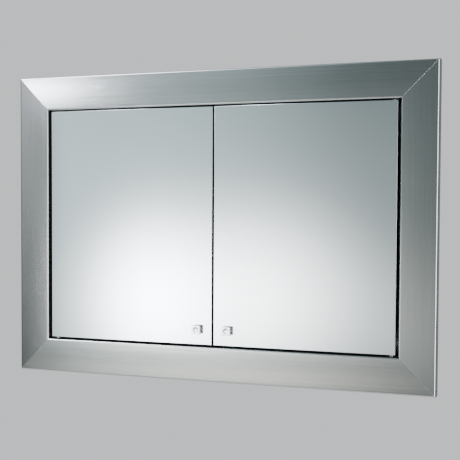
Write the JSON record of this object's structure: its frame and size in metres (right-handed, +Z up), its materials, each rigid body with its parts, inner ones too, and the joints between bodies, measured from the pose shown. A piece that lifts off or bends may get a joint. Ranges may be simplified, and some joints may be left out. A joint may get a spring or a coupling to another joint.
{
  "type": "medicine cabinet",
  "caption": "Wall-hung medicine cabinet: two pivoting mirror doors with square knobs in a wide mitred brushed-steel frame, glass shelves inside.",
  "frame": {"origin": "middle of the back panel's rear face, on the wall", "axes": "+X to the right as seen from the front, +Y into the wall, +Z up"},
  "size_m": [0.914, 0.1336, 0.64],
  "materials": {
    "brushed_steel": "brushed along each member, polished edges",
    "body_steel": "satin sheet",
    "door_steel": "satin sheet",
    "mirror": "silvered glass with a polished edge",
    "chrome": "polished",
    "zinc": "zinc-plated",
    "nylon": "moulded",
    "rubber": "matt",
    "magnet": "sintered ferrite",
    "shelf_glass": "clear with ground edges"
  },
  "bodies": {
    "cabinet": {"frame_top_rail": "brushed_steel", "frame_bottom_rail": "brushed_steel", "frame_left_stile": "brushed_steel", "frame_right_stile": "brushed_steel", "corner_key_top_left": "zinc", "corner_key_top_right": "zinc", "corner_key_bottom_left": "zinc", "corner_key_bottom_right": "zinc", "top_panel": "body_steel", "bottom_panel": "body_steel", "left_side_panel": "body_steel", "right_side_panel": "body_steel", "back_panel": "body_steel", "lower_shelf": "shelf_glass", "lower_shelf_clip_left_front": "chrome", "lower_shelf_clip_left_back": "chrome", "lower_shelf_clip_right_front": "chrome", "lower_shelf_clip_right_back": "chrome", "upper_shelf": "shelf_glass", "upper_shelf_clip_left_front": "chrome", "upper_shelf_clip_left_back": "chrome", "upper_shelf_clip_right_front": "chrome", "upper_shelf_clip_right_back": "chrome", "left_top_pivot_plate": "zinc", "left_bottom_pivot_plate": "zinc", "left_top_pivot_pin": "zinc", "left_bottom_pivot_pin": "zinc", "left_catch_housing": "nylon", "left_catch_magnet": "magnet", "left_door_bumper": "rubber", "right_top_pivot_plate": "zinc", "right_bottom_pivot_plate": "zinc", "right_top_pivot_pin": "zinc", "right_bottom_pivot_pin": "zinc", "right_catch_housing": "nylon", "right_catch_magnet": "magnet", "right_door_bumper": "rubber"},
    "left_door": {"left_mirror": "mirror", "left_door_pan": "door_steel", "left_knob": "chrome", "left_knob_washer": "nylon", "left_knob_screw": "zinc", "left_strike_plate": "zinc", "left_top_pivot_bush": "nylon", "left_bottom_pivot_bush": "nylon", "left_top_bush_screw": "zinc", "left_bottom_bush_screw": "zinc"},
    "right_door": {"right_mirror": "mirror", "right_door_pan": "door_steel", "right_knob": "chrome", "right_knob_washer": "nylon", "right_knob_screw": "zinc", "right_strike_plate": "zinc", "right_top_pivot_bush": "nylon", "right_bottom_pivot_bush": "nylon", "right_top_bush_screw": "zinc", "right_bottom_bush_screw": "zinc"}
  },
  "joints": [
    {"name": "left_door_hinge", "type": "hinge", "parent": "cabinet", "child": "left_door", "pos_m": [-0.3695, -0.1128, 0], "axis": [0, 0, -1], "range_deg": [0, 105]},
    {"name": "right_door_hinge", "type": "hinge", "parent": "cabinet", "child": "right_door", "pos_m": [0.3695, -0.1128, 0], "axis": [0, 0, 1], "range_deg": [0, 105]}
  ]
}
